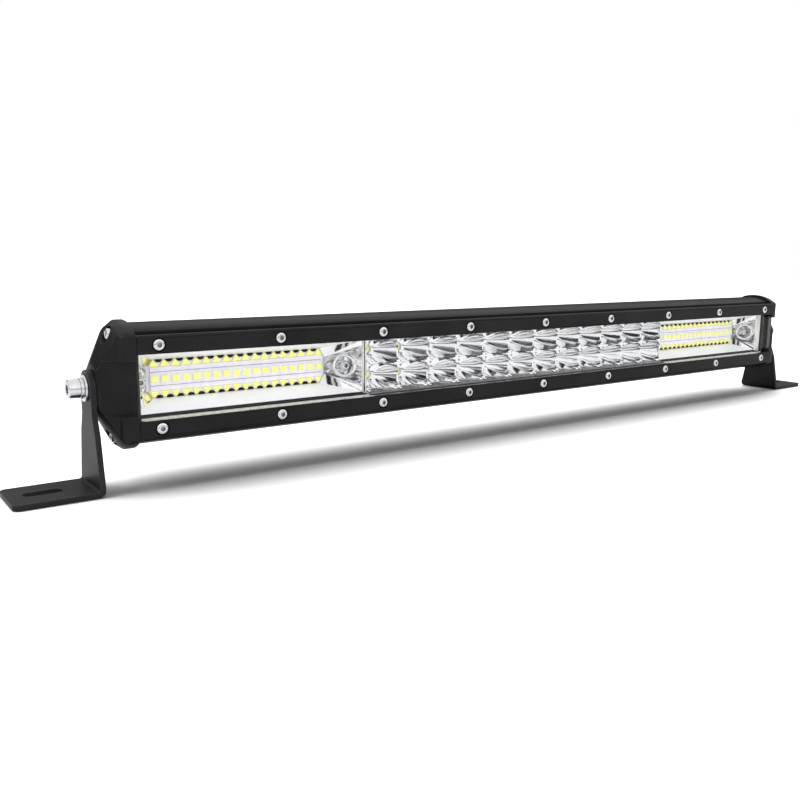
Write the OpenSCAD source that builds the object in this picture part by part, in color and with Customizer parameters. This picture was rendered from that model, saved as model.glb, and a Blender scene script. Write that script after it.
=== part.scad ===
// LED light bar on two swivel feet: a finned aluminium housing closed by two end caps,
// two screwed bezel rails over a flat lens, a cup reflector between two trough reflectors,
// and an L-shaped foot at each end held by one side bolt.
// Units are millimetres. +X runs along the bar, the lamp faces -Y, +Z is up.
// The origin lies midway between the two foot slots, on the plane the feet stand on.

/* [Layout] */
// Height of the swivel axis above the mounting plane
pivot_height = 46.5; // [40:0.5:60]
// Distance from the swivel axis forward to the front face of the rails
front_reach = 16; // [14:1:20]
// Half of the length between the inner faces of the end caps
half_span = 250; // [180:5:400]

/* [Housing] */
// Clearance between neighbouring bodies that only touch
gap = 0.3; // [0.1:0.05:0.5]
// Depth at which the housing starts, just behind the rails
housing_front = 3.1; // [2.5:0.1:5]
// Height of the hollow inside the housing
cavity_height = 31.2; // [28:0.2:33]
// Depth of the floor that carries the circuit boards
floor_depth = 27.3; // [24:0.1:30]
// Number of cooling slots cut from the back
fin_slots = 7; // [3:2:7]
// Distance from one cooling slot to the next
fin_pitch = 5.4; // [4:0.1:6]
// Width of one cooling slot
fin_slot = 3; // [2:0.1:4]
// Depth of the bottom of the cooling slots
fin_root = 31.5; // [30:0.5:36]

/* [Rails and lens] */
// Thickness of a bezel rail
rail_thick = 3; // [2:0.1:4]
// Height of the opening between the two rails
window_height = 29.4; // [26:0.2:32]
// Height of one bezel rail
rail_height = 8.5; // [7:0.1:10]
// Distance between rail screws
rail_pitch = 60; // [40:5:80]
// Number of screws in one rail
rail_screw_count = 9; // [3:2:15]
// Height of the rail screws above or below the swivel axis
rail_screw_z = 18.75; // [17:0.05:21]
// Height of the lens, which is held behind the rails
lens_height = 32.4; // [30:0.1:34]
// Thickness of the lens
lens_thick = 2; // [1.5:0.1:3]

/* [Screws] */
// Radius of the M3 screw shank
m3_r = 1.5; // [1.25:0.05:2]
// Radius of the M3 button head
m3_head_r = 2.75; // [2.5:0.05:3]
// Height of the M3 button head on the rails and reflectors
m3_head_h = 1.65; // [1:0.05:3]
// Height of the M3 socket head on the end caps
m3_cap_head_h = 3; // [1.5:0.1:3.5]
// Length of the M3 shank under the head
m3_length = 9; // [6:1:16]
// Radius of the M5 bolt shank
m5_r = 2.5; // [2:0.1:4]
// Radius of the M5 socket head
m5_head_r = 4.25; // [3.5:0.05:6]
// Height of the M5 socket head
m5_head_h = 5; // [4:0.1:8]
// Length of the M5 shank under the head
m5_length = 16; // [12:1:25]

/* [End caps] */
// Distance of the boss face outward from the inner face of the cap
boss_reach = 15.6; // [10:0.1:20]
// Radius of the flat on the boss
boss_r = 10; // [9:0.5:13]
// Radius of the cap cone where it meets the inner face
cone_r = 39.5; // [34:0.5:48]
// Radius where the flatter cone that eases the cap's outer edge meets the inner face
edge_cone_r = 32; // [30:0.5:36]
// Height of the hollow between the two front lobes
scoop_height = 24.4; // [20:0.2:30]
// Height of the cap screws above or below the swivel axis
cap_screw_z = 23; // [20:0.1:24]
// Depth of the cap screws behind the front face
cap_screw_depth = 15; // [12:0.5:20]

/* [Feet] */
// Thickness of the bent strip
strip = 2.5; // [2:0.1:4]
// Radius of the rounded top of the leg
ear_r = 8; // [7.5:0.1:12]
// Radius of the bolt hole in the leg
ear_hole_r = 2.6; // [2.55:0.05:3.2]
// Width of the foot plate
foot_width = 30; // [20:1:40]
// Reach of the foot plate outward from the inner face of the leg
foot_reach = 37.8; // [25:0.1:50]
// Distance of the slot centre outward from the inner face of the leg
slot_offset = 23; // [18:0.1:26]
// Overall length of the slot
slot_length = 16.5; // [8:0.5:20]
// Radius of the ends of the slot
slot_r = 3.25; // [2.5:0.05:4.5]
// Inside radius of the bend
bend_r = 1; // [0.5:0.5:4]

/* [Lights] */
// Half length of the middle section that has the cup reflectors
spot_half = 125; // [80:5:180]
// Number of cups in one row
cup_columns = 12; // [6:1:16]
// Depth of the rims of the reflectors
rim_depth = 12; // [9:0.5:14]
// Depth of the open back of the reflectors
throat_depth = 25; // [20:0.5:27]
// Thickness of a circuit board
board_thick = 1.6; // [1:0.1:2]
// Side of one light-emitting diode
led_side = 3.2; // [2.5:0.1:5]
// Number of diodes in one row of a trough
led_count = 18; // [8:1:24]
// Distance between the diodes in a trough
led_pitch = 5.25; // [4:0.05:6]

/* [Cable inlet] */
// Radius of the inlet through the gland
inlet_r = 2.8; // [2:0.1:4]
// Distance of the inlet from the middle of the bar
inlet_x = 205; // [0:5:220]

/* [Hidden] */
cut = 1; // overshoot of a cutting body
fit = 0.1; // radial play of a screw in its hole
gasket_thick = 0.8;
housing_half = half_span - gasket_thick;
rail_half = half_span - 0.2;
window_z = window_height / 2;
rail_z = window_z + rail_height / 2;
cavity_z = cavity_height / 2;
lens_depth = housing_front + 0.2;
lens_half = housing_half - 0.1;
seal_thick = 1;
seal_depth = lens_depth + lens_thick + 0.05;
shelf_depth = seal_depth + seal_thick + 0.05;
shelf_thick = 1.5;
reflector_front = shelf_depth + shelf_thick + 0.2;
reflector_z = cavity_z - gap;
skirt = 0.9;
board_front = floor_depth - board_thick - 0.1;
board_z = 15;
strip_thick = 0.6;
flood_half = (half_span - gasket_thick - spot_half) / 2 - 0.4;
flood_x = spot_half + 0.4 + flood_half;
throat_half = 47;
trough_x = flood_x + 2.7;
throat_z = 9.2;
mouth_z = 13.9;
end_throat_z = 4;
cup_pitch = 2 * spot_half / cup_columns;
cup_z = 7;
cup_throat_r = 3.1;
cup_mouth_r = 12.2;
seat_r = 4.6;
seat_depth = 18;
seat_places = [flood_x - 54, flood_x + 56.3];
cap_screw_seat = 5.6;
cap_pocket_r = 3.9;
edge_drop = 0.75 * boss_reach;
inner_face = half_span + boss_reach + 0.1;
slot_x = inner_face + slot_offset;
flat_washer_x = inner_face + strip + 0.05;
flat_washer_r = 6;
flat_washer_h = 1.1;
spring_washer_x = flat_washer_x + flat_washer_h + 0.05;
spring_washer_h = 1.5;
bolt_seat_x = spring_washer_x + spring_washer_h + 0.05;
black = [0.06, 0.06, 0.065];
rail_black = [0.09, 0.09, 0.095];
bright = [0.8, 0.8, 0.82];
chrome = [0.9, 0.9, 0.92];
white = [0.93, 0.92, 0.97];
phosphor = [0.97, 0.95, 0.5];
rubber = [0.16, 0.16, 0.17];

// Outline of the housing in depth and height, upper half
housing_upper = [
    [0, 22], [1.9, 22], [1.9, 24.5], [3.4, 25.3], [5.7, 26.3], [9.9, 27.3], [14.6, 27.8],
    [18.5, 27.6], [21.5, 27], [24.4, 25.9], [26.4, 24.6], [38.6, 11.6], [40.6, 8.8], [41.4, 6.4]
];
// Outline of the end cap in depth and height, upper half
cap_upper = [
    [0, 22.3], [0.6, 23.4], [1.6, 24.4], [3.2, 25.4], [5.8, 26.8], [8.8, 28], [13, 29],
    [17.7, 29.3], [21, 29.1], [24, 28.5], [26.6, 27.5], [28.8, 26], [42, 12], [44.6, 8.6],
    [45.6, 6.2]
];
// Outline of the end cap seen from above: distance from the inner face, depth
cap_plan = [
    [0, 0], [4.2, 0], [5.4, 0.3], [6.4, 1], [7.2, 2.1], [7.8, 3.6], [16, 9], [16, 50], [0, 50]
];
// Hollow between the lobes seen from above: distance from the inner face, depth
scoop_plan = [[-1, -2], [-1, 3.2], [2, 3.2], [14.4, 8], [20, 8], [20, -2]];
// Outline of one leg: distance from the swivel axis, height above the mounting plane
leg_side = [[7.8, 46.5], [7.8, 34.5], [10.8, 26.5], [12, 20], [15, 3], [15, 0]];

module at_front(depth) {
    translate([0, depth - front_reach, pivot_height])
        children();
}

// A profile drawn as depth and height, run along the bar
module along_bar(from, length) {
    translate([from, -front_reach, pivot_height])
        rotate([90, 0, 90])
            linear_extrude(height = length)
                children();
}

// A cylinder that points backward from a given depth
module back_cyl(r, h, depth, facets = 0) {
    at_front(depth)
        rotate([-90, 0, 0])
            cylinder(r = r, h = h, $fn = facets);
}

// A cone that widens toward the front, from a given depth backward
module back_cone(front_r, back_r, depth, h) {
    at_front(depth)
        rotate([-90, 0, 0])
            cylinder(r1 = front_r, r2 = back_r, h = h);
}

// A cylinder on the swivel axis that points toward +X
module side_cyl(r, h, from) {
    translate([from, 0, pivot_height])
        rotate([0, 90, 0])
            cylinder(r = r, h = h);
}

module block(x, depth, z, half_x, thick, half_z) {
    translate([x - half_x, depth - front_reach, pivot_height + z - half_z])
        cube([2 * half_x, thick, 2 * half_z]);
}

module left_and_right() {
    children();
    mirror([1, 0, 0])
        children();
}

module upper_and_lower() {
    children();
    translate([0, 0, 2 * pivot_height])
        mirror([0, 0, 1])
            children();
}

function mirrored(half) = concat(half, [for (i = [len(half) - 1 : -1 : 0]) [half[i][0], -half[i][1]]]);

module at_rail_screws() {
    for (i = [0 : rail_screw_count - 1])
        translate([(i - (rail_screw_count - 1) / 2) * rail_pitch, 0, rail_screw_z])
            children();
}

// Hex-socket screw with its seat at a given depth and its shank pointing backward
module hex_screw(seat, length, head_h = m3_head_h) {
    difference() {
        union() {
            back_cyl(m3_r, length, seat);
            back_cyl(m3_head_r, head_h - 0.6, seat - head_h + 0.6);
            back_cone(m3_head_r - 0.7, m3_head_r, seat - head_h, 0.6);
        }
        back_cyl(1.15, m3_head_h + 0.4, seat - head_h - 0.4, 6);
    }
}

module housing() {
    color(black)
        difference() {
            along_bar(-housing_half, 2 * housing_half)
                translate([housing_front, 0])
                    polygon(mirrored(housing_upper));
            along_bar(-half_span - cut, 2 * (half_span + cut)) {
                translate([shelf_depth + shelf_thick, -cavity_z])
                    square([floor_depth - shelf_depth - shelf_thick, cavity_height]);
                translate([0, -window_z])
                    square([floor_depth - cut, window_height]);
                translate([0, -lens_height / 2 - 0.2])
                    square([shelf_depth, lens_height + 0.4]);
                for (i = [0 : fin_slots - 1])
                    translate([fin_root, (i - (fin_slots - 1) / 2) * fin_pitch - fin_slot / 2])
                        square([front_reach + floor_depth, fin_slot]);
            }
            upper_and_lower() {
                at_rail_screws()
                    back_cyl(m3_r + fit, m3_length + 3, 0);
                at_front(cap_screw_depth)
                    translate([-half_span - cut, 0, cap_screw_z])
                        rotate([0, 90, 0])
                            cylinder(r = m3_r + fit, h = 2 * (half_span + cut));
            }
            at_board_screws()
                back_cyl(m3_r - 0.5 + fit, 4, board_front);
            translate([inlet_x, 0, 0]) {
                back_cyl(9.5, 20, fin_root);
                back_cyl(5.05, 20, floor_depth - cut);
            }
        }
}

module end_cap_right() {
    color(black)
        difference() {
            intersection() {
                along_bar(half_span, boss_reach)
                    polygon(mirrored(cap_upper));
                translate([half_span, 0, pivot_height])
                    rotate([0, 90, 0])
                        cylinder(r1 = cone_r, r2 = boss_r, h = boss_reach);
                translate([half_span, 0, pivot_height])
                    rotate([0, 90, 0])
                        cylinder(r1 = edge_cone_r, r2 = edge_cone_r - edge_drop, h = boss_reach);
                translate([half_span, -front_reach, 0])
                    linear_extrude(height = 2 * pivot_height)
                        polygon(cap_plan);
            }
            translate([half_span, -front_reach, pivot_height - scoop_height / 2])
                linear_extrude(height = scoop_height)
                    polygon(scoop_plan);
            side_cyl(m5_r + fit, 14, half_span + boss_reach - 12.6);
            upper_and_lower()
                at_front(cap_screw_depth)
                    translate([half_span, 0, cap_screw_z])
                        rotate([0, 90, 0]) {
                            translate([0, 0, -cut])
                                cylinder(r = m3_r + 2 * fit, h = 20);
                            translate([0, 0, cap_screw_seat])
                                cylinder(r = cap_pocket_r, h = 20);
                        }
        }
}

module left_end_cap() {
    mirror([1, 0, 0])
        end_cap_right();
}

module right_end_cap() {
    end_cap_right();
}

module end_gasket_right() {
    color(rubber)
        difference() {
            along_bar(housing_half + 0.05, gasket_thick - 0.1)
                difference() {
                    translate([housing_front, 0])
                        polygon(mirrored(housing_upper));
                    translate([0, -cavity_z - 0.4])
                        square([floor_depth + 1, cavity_height + 0.8]);
                }
            upper_and_lower()
                at_front(cap_screw_depth)
                    translate([housing_half - cut, 0, cap_screw_z])
                        rotate([0, 90, 0])
                            cylinder(r = m3_r + 2 * fit, h = 3 * cut);
        }
}

module left_end_gasket() {
    mirror([1, 0, 0])
        end_gasket_right();
}

module right_end_gasket() {
    end_gasket_right();
}

module rail_upper() {
    color(rail_black)
        difference() {
            along_bar(-rail_half, 2 * rail_half)
                translate([0, rail_z - rail_height / 2])
                    polygon([
                        [0, 0.3], [0.3, 0], [rail_thick, 0], [rail_thick, rail_height],
                        [0.6, rail_height], [0, rail_height - 0.6]
                    ]);
            at_rail_screws() {
                back_cyl(m3_r + 2 * fit, rail_thick + 2 * cut, -cut);
                back_cyl(m3_head_r + 0.45, 1.2 + cut, -cut);
            }
        }
}

module top_rail() {
    rail_upper();
}

module bottom_rail() {
    translate([0, 0, 2 * pivot_height])
        mirror([0, 0, 1])
            rail_upper();
}

module top_rail_screws() {
    color(bright)
        at_rail_screws()
            hex_screw(1.15, m3_length);
}

module bottom_rail_screws() {
    color(bright)
        translate([0, 0, 2 * pivot_height])
            mirror([0, 0, 1])
                at_rail_screws()
                    hex_screw(1.15, m3_length);
}

module cap_screws_right() {
    color(bright)
        upper_and_lower()
            translate([half_span, cap_screw_depth - front_reach, cap_screw_z])
                rotate([0, 0, 90])
                    translate([0, front_reach - cap_screw_seat - 0.05, 0])
                        hex_screw(0, 12.6, m3_cap_head_h);
}

module left_cap_screws() {
    mirror([1, 0, 0])
        cap_screws_right();
}

module right_cap_screws() {
    cap_screws_right();
}

module lens() {
    color([0.85, 0.9, 0.93, 0.3])
        block(0, lens_depth, 0, lens_half, lens_thick, lens_height / 2);
}

module lens_gasket() {
    color(white)
        difference() {
            block(0, seal_depth, 0, lens_half, seal_thick, lens_height / 2);
            block(0, seal_depth - cut, 0, lens_half - 1.4, seal_thick + 2 * cut, window_z + 0.1);
        }
}

// Trough cut: sloped walls above and below and at both ends
module trough() {
    slope_z = (mouth_z - throat_z) / (throat_depth - rim_depth);
    intersection() {
        along_bar(flood_x - flood_half + 0.6, 2 * (flood_half - 0.6))
            polygon(mirrored([[rim_depth - cut, mouth_z + slope_z * cut],
                [throat_depth + cut, throat_z - slope_z * cut]]));
        translate([0, -front_reach, pivot_height - 20])
            linear_extrude(height = 40)
                polygon([
                    [flood_x - flood_half + 0.6, 0], [flood_x - flood_half + 0.6, rim_depth],
                    [trough_x - throat_half, throat_depth], [trough_x - throat_half, throat_depth + cut],
                    [trough_x + throat_half, throat_depth + cut], [trough_x + throat_half, throat_depth],
                    [flood_x + flood_half - 0.6, rim_depth], [flood_x + flood_half - 0.6, 0]
                ]);
    }
}

module flood_reflector_right() {
    color(chrome)
        difference() {
            block(flood_x, reflector_front, 0, flood_half, throat_depth - reflector_front, reflector_z);
            block(flood_x, reflector_front - cut, 0, flood_half - 0.6,
                rim_depth - reflector_front + cut, reflector_z - skirt);
            trough();
            for (x = seat_places)
                translate([x, 0, 0]) {
                    back_cyl(seat_r, seat_depth - rim_depth + cut, rim_depth - cut);
                    back_cyl(m3_r + fit, 20, rim_depth);
                }
        }
}

module left_flood_reflector() {
    mirror([1, 0, 0])
        flood_reflector_right();
}

module right_flood_reflector() {
    flood_reflector_right();
}

// One cup: a cone trimmed to its share of the grid
module cup() {
    intersection() {
        back_cone(cup_mouth_r, cup_throat_r, rim_depth, throat_depth - rim_depth);
        block(0, rim_depth, 0, cup_pitch / 2 - 0.3, throat_depth - rim_depth, cup_z - 0.3);
    }
    back_cyl(cup_throat_r, 2 * cut, throat_depth - cut);
    block(0, rim_depth - cut, 0, cup_pitch / 2 - 0.3, cut + 0.01, cup_z - 0.3);
}

module at_cups() {
    for (i = [0 : cup_columns - 1])
        for (row = [-1, 1])
            translate([(i - (cup_columns - 1) / 2) * cup_pitch, 0, row * cup_z])
                children();
}

module spot_reflector() {
    color(chrome)
        difference() {
            block(0, reflector_front, 0, spot_half, throat_depth - reflector_front, reflector_z);
            block(0, reflector_front - cut, 0, spot_half + cut,
                rim_depth - reflector_front + cut, reflector_z - skirt);
            at_cups()
                cup();
        }
}

module reflector_screws() {
    color(bright)
        left_and_right()
            for (x = seat_places)
                translate([x, 0, 0])
                    hex_screw(seat_depth - 0.05, 8.2);
}

module at_board_screws() {
    for (side = [-1, 1])
        for (x = [spot_half - 21, flood_x + 30, flood_x - 30])
            for (row = [-1, 1])
                translate([side * x, 0, row * 12.2])
                    children();
}

// Circuit board with holes for its screws and for the reflector screws
module board(x, half_x) {
    color(white)
        difference() {
            block(x, board_front, 0, half_x, board_thick, board_z);
            at_board_screws()
                back_cyl(m3_r - 0.5 + 2 * fit, 4, board_front - cut);
            left_and_right()
                for (seat_x = seat_places)
                    translate([seat_x, 0, 0])
                        back_cyl(m3_r + 2 * fit, 4, board_front - cut);
        }
}

module left_flood_board() {
    board(-flood_x, flood_half);
}

module right_flood_board() {
    board(flood_x, flood_half);
}

module spot_board() {
    board(0, spot_half);
}

module board_screws() {
    color(bright)
        at_board_screws() {
            back_cyl(m3_r - 0.5, 3, board_front);
            back_cyl(1.9, 0.55, board_front - 0.6);
        }
}

// Raised strip that carries the middle row of a trough
module flood_strip(x) {
    color(white)
        block(x, board_front - strip_thick - 0.05, 0, throat_half - 0.6, strip_thick, 5.6);
}

module left_flood_strip() {
    flood_strip(-trough_x);
}

module right_flood_strip() {
    flood_strip(trough_x);
}

module flood_leds(x) {
    color(phosphor)
        for (i = [0 : led_count - 1])
            translate([x + (i - (led_count - 1) / 2) * led_pitch, 0, 0]) {
                block(0, board_front - strip_thick - 0.75, 0, led_side / 2, 0.65, led_side / 2);
                upper_and_lower()
                    at_front(board_front - 0.05)
                        rotate([90, 0, 0])
                            linear_extrude(height = 0.65)
                                polygon([[-2.3, 5.8], [2.3, 5.8], [0, 8.7]]);
            }
}

module left_flood_leds() {
    flood_leds(-trough_x);
}

module right_flood_leds() {
    flood_leds(trough_x);
}

module spot_leds() {
    color(phosphor)
        at_cups()
            block(0, board_front - 0.7, 0, led_side / 2, 0.65, led_side / 2);
}

// Foot: rounded leg, bend and slotted plate
module bracket_right() {
    color(black)
        difference() {
            union() {
                translate([inner_face, 0, 0])
                    rotate([90, 0, 90])
                        linear_extrude(height = strip) {
                            translate([0, pivot_height])
                                circle(r = ear_r);
                            difference() {
                                polygon(concat(leg_side, [for (i = [len(leg_side) - 1 : -1 : 0])
                                    [-leg_side[i][0], leg_side[i][1]]]));
                                translate([-foot_width, -cut])
                                    square([2 * foot_width, strip + bend_r + cut]);
                            }
                        }
                translate([inner_face + strip + bend_r, foot_width / 2, strip + bend_r])
                    rotate([90, 0, 0])
                        linear_extrude(height = foot_width)
                            difference() {
                                intersection() {
                                    circle(r = strip + bend_r);
                                    translate([-10, -10])
                                        square([10, 10]);
                                }
                                circle(r = bend_r);
                            }
                linear_extrude(height = strip) {
                    translate([inner_face + strip + bend_r, -foot_width / 2])
                        square([foot_reach - strip - bend_r - 3, foot_width]);
                    translate([inner_face + foot_reach - 4, 3 - foot_width / 2])
                        square([4, foot_width - 6]);
                    for (side = [-1, 1])
                        translate([inner_face + foot_reach - 3, side * (foot_width / 2 - 3)])
                            circle(r = 3);
                }
            }
            side_cyl(ear_hole_r, strip + 2 * cut, inner_face - cut);
            translate([slot_x, 0, -cut])
                linear_extrude(height = strip + 2 * cut) {
                    square([slot_length - 2 * slot_r, 2 * slot_r], center = true);
                    for (side = [-1, 1])
                        translate([side * (slot_length / 2 - slot_r), 0])
                            circle(r = slot_r);
                }
        }
}

module left_bracket() {
    mirror([1, 0, 0])
        bracket_right();
}

module right_bracket() {
    bracket_right();
}

module side_bolt_right() {
    color(bright)
        difference() {
            union() {
                side_cyl(m5_r, m5_length, bolt_seat_x - m5_length);
                side_cyl(m5_head_r, m5_head_h - 0.5, bolt_seat_x);
                translate([bolt_seat_x + m5_head_h - 0.5, 0, pivot_height])
                    rotate([0, 90, 0])
                        cylinder(r1 = m5_head_r, r2 = m5_head_r - 0.5, h = 0.5);
            }
            translate([bolt_seat_x + m5_head_h - 3, 0, pivot_height])
                rotate([0, 90, 0])
                    cylinder(r = 2.35, h = 4, $fn = 6);
        }
}

module left_side_bolt() {
    mirror([1, 0, 0])
        side_bolt_right();
}

module right_side_bolt() {
    side_bolt_right();
}

// Split ring: the gap lets it work as a spring
module spring_washer_right() {
    color(bright)
        difference() {
            side_cyl(m5_head_r + 0.35, spring_washer_h, spring_washer_x);
            side_cyl(m5_r + fit, 4, spring_washer_x - cut);
            translate([spring_washer_x - cut, -0.4, pivot_height])
                cube([4, 0.8, 8]);
        }
}

module left_spring_washer() {
    mirror([1, 0, 0])
        spring_washer_right();
}

module right_spring_washer() {
    spring_washer_right();
}

module flat_washer_right() {
    color(bright)
        difference() {
            side_cyl(flat_washer_r, flat_washer_h, flat_washer_x);
            side_cyl(m5_r + fit, 4, flat_washer_x - cut);
        }
}

module left_flat_washer() {
    mirror([1, 0, 0])
        flat_washer_right();
}

module right_flat_washer() {
    flat_washer_right();
}

module cable_gland() {
    color(rubber)
        translate([inlet_x, 0, 0])
            difference() {
                union() {
                    back_cyl(4.95, 6, floor_depth + 0.2);
                    back_cyl(7, 5, fin_root + 1.2, 6);
                    back_cyl(5.6, 9, fin_root + 3);
                }
                back_cyl(inlet_r, 30, floor_depth - cut);
            }
}

module gland_seal() {
    color(rubber)
        translate([inlet_x, 0, 0])
            difference() {
                back_cyl(7, 1, fin_root + 0.1);
                back_cyl(5.05, 3, fin_root - cut);
            }
}

module gland_nut() {
    color(rubber)
        translate([inlet_x, 0, 0])
            difference() {
                union() {
                    back_cyl(7.2, 6, fin_root + 6.4, 6);
                    back_cone(6.2, 4.4, fin_root + 12.4, 2.6);
                }
                back_cyl(5.7, 6.8, fin_root + 6.4 - cut);
                back_cyl(inlet_r, 12, fin_root + 6);
            }
}

left_bracket();
right_bracket();
housing();
left_end_cap();
right_end_cap();
left_end_gasket();
right_end_gasket();
top_rail();
bottom_rail();
top_rail_screws();
bottom_rail_screws();
left_cap_screws();
right_cap_screws();
lens();
lens_gasket();
left_flood_reflector();
right_flood_reflector();
spot_reflector();
reflector_screws();
left_flood_board();
right_flood_board();
spot_board();
board_screws();
left_flood_strip();
right_flood_strip();
left_flood_leds();
right_flood_leds();
spot_leds();
left_side_bolt();
right_side_bolt();
left_spring_washer();
right_spring_washer();
left_flat_washer();
right_flat_washer();
cable_gland();
gland_nut();
gland_seal();
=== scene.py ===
import math
import bmesh
import bpy
from mathutils import Matrix, Vector


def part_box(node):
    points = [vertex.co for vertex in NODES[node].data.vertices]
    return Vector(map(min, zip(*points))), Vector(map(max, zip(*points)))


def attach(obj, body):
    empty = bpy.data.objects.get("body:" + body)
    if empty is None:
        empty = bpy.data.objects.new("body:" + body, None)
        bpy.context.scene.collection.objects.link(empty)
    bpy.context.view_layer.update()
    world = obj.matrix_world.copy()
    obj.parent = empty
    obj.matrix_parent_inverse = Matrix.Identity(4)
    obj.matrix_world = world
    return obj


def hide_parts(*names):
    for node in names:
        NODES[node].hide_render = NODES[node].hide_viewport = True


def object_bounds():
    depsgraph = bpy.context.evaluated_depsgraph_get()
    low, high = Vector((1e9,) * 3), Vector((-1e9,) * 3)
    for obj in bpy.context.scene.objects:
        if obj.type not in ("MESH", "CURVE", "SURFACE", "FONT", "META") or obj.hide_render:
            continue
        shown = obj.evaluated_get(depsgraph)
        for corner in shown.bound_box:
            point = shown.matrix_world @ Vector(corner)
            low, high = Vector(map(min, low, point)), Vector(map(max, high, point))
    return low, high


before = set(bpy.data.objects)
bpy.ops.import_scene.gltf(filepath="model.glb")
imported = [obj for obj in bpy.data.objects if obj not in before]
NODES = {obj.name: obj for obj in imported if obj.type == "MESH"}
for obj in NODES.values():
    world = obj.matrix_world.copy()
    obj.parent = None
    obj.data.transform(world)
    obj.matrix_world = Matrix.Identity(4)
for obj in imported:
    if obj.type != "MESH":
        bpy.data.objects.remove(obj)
CAD_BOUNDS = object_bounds()
MM = 0.001

# ---------------------------------------------------------------- places read from the frame
TOP_RAIL_LOW, TOP_RAIL_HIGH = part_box("top_rail")
BOTTOM_RAIL_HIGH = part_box("bottom_rail")[1]
FRONT_Y = TOP_RAIL_LOW[1]
AXIS_Z = (TOP_RAIL_LOW[2] + BOTTOM_RAIL_HIGH[2]) / 2
SPOT_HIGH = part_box("spot_reflector")[1]
FLOOD_LOW, FLOOD_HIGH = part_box("right_flood_reflector")
STRIP_LOW, STRIP_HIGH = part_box("right_flood_strip")

# ---------------------------------------------------------------- sizes in mm
# Lengths along the bar are from its middle, depths from the rails' front face, and heights from
# the swivel axis.
WINDOW_Z = (TOP_RAIL_LOW[2] - AXIS_Z) / MM
RAIL_HEIGHT = (TOP_RAIL_HIGH[2] - TOP_RAIL_LOW[2]) / MM
RAIL_CHAMFER = 0.6
SPOT_HALF = SPOT_HIGH[0] / MM
SHELL_Z = (SPOT_HIGH[2] - AXIS_Z) / MM
RIM_DEPTH = 12.0     # front edge of the trough walls
SKIRT_DEPTH = 8.1    # front face of the frame that all three reflectors have
SKIRT_Z = 14.35
BACK_DEPTH = (SPOT_HIGH[1] - FRONT_Y) / MM
FLOOD_IN = FLOOD_LOW[0] / MM
FLOOD_OUT = FLOOD_HIGH[0] / MM
TROUGH_X = (STRIP_LOW[0] + STRIP_HIGH[0]) / 2 / MM
END_MARGIN = 1.3     # the bright lip and the white rubber end this far short of a trough's end
HAIR = 0.06          # a face this near the window's edge looks into it
SEAT_PLACES = (133.1, 243.4)
SEAT_R = 4.6
SEAT_DEPTH = 18.0


def place(x, depth, z):
    """A point given by its distance along the bar, behind the rails' front face and above the axis."""
    return Vector((x * MM, FRONT_Y + depth * MM, AXIS_Z + z * MM))


# ================================================================ materials
def new_material(name):
    """A material with a Principled shader, and its node tree ready to be added to."""
    material = bpy.data.materials.new(name)
    material.use_nodes = True
    tree = material.node_tree
    return material, tree, tree.nodes["Principled BSDF"]


def add(tree, kind, **settings):
    """A new node with its settings."""
    node = tree.nodes.new(kind)
    for key, value in settings.items():
        setattr(node, key, value)
    return node


def noise(tree, scale, detail=3.0, stretch=None):
    """Noise in object coordinates, so it's the same size on every piece."""
    coords = add(tree, "ShaderNodeTexCoord")
    texture = add(tree, "ShaderNodeTexNoise")
    texture.inputs["Scale"].default_value = scale
    texture.inputs["Detail"].default_value = detail
    source = coords.outputs["Object"]
    if stretch:
        mapping = add(tree, "ShaderNodeMapping")
        mapping.inputs["Scale"].default_value = stretch
        tree.links.new(source, mapping.inputs["Vector"])
        source = mapping.outputs["Vector"]
    tree.links.new(source, texture.inputs["Vector"])
    return texture.outputs["Fac"]


def ramp(tree, source, low, high, colours):
    """Colour ramp between two positions of a 0 to 1 value."""
    node = add(tree, "ShaderNodeValToRGB")
    for element, position, colour in zip(node.color_ramp.elements, (low, high), colours):
        element.position = position
        element.color = (*colour, 1)
    tree.links.new(source, node.inputs["Fac"])
    return node.outputs["Color"]


def spread(tree, source, low, high):
    """Stretches a 0 to 1 value to the range low to high."""
    node = add(tree, "ShaderNodeMapRange")
    node.inputs["To Min"].default_value = low
    node.inputs["To Max"].default_value = high
    tree.links.new(source, node.inputs["Value"])
    return node.outputs["Result"]


def bump(tree, shader, source, strength, distance):
    """Relief from a 0 to 1 value."""
    node = add(tree, "ShaderNodeBump")
    node.inputs["Strength"].default_value = strength
    node.inputs["Distance"].default_value = distance
    tree.links.new(source, node.inputs["Height"])
    tree.links.new(node.outputs["Normal"], shader.inputs["Normal"])


def edge_mask(tree, radius):
    """1 on edges and 0 elsewhere: where the rounded normal leaves the true one."""
    bevel = add(tree, "ShaderNodeBevel", samples=4)
    bevel.inputs["Radius"].default_value = radius
    geometry = add(tree, "ShaderNodeNewGeometry")
    dot = add(tree, "ShaderNodeVectorMath", operation="DOT_PRODUCT")
    tree.links.new(bevel.outputs["Normal"], dot.inputs[0])
    tree.links.new(geometry.outputs["Normal"], dot.inputs[1])
    mask = add(tree, "ShaderNodeMapRange")
    mask.inputs["From Min"].default_value = 0.97
    mask.inputs["From Max"].default_value = 0.75
    tree.links.new(dot.outputs["Value"], mask.inputs["Value"])
    return mask.outputs["Result"]


def calculate(tree, operation, a, b=None):
    """A Math node on sockets or numbers."""
    node = add(tree, "ShaderNodeMath", operation=operation)
    for socket, value in zip(node.inputs, (a, b)):
        if isinstance(value, bpy.types.NodeSocket):
            tree.links.new(value, socket)
        elif value is not None:
            socket.default_value = value
    return node.outputs[0]


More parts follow.
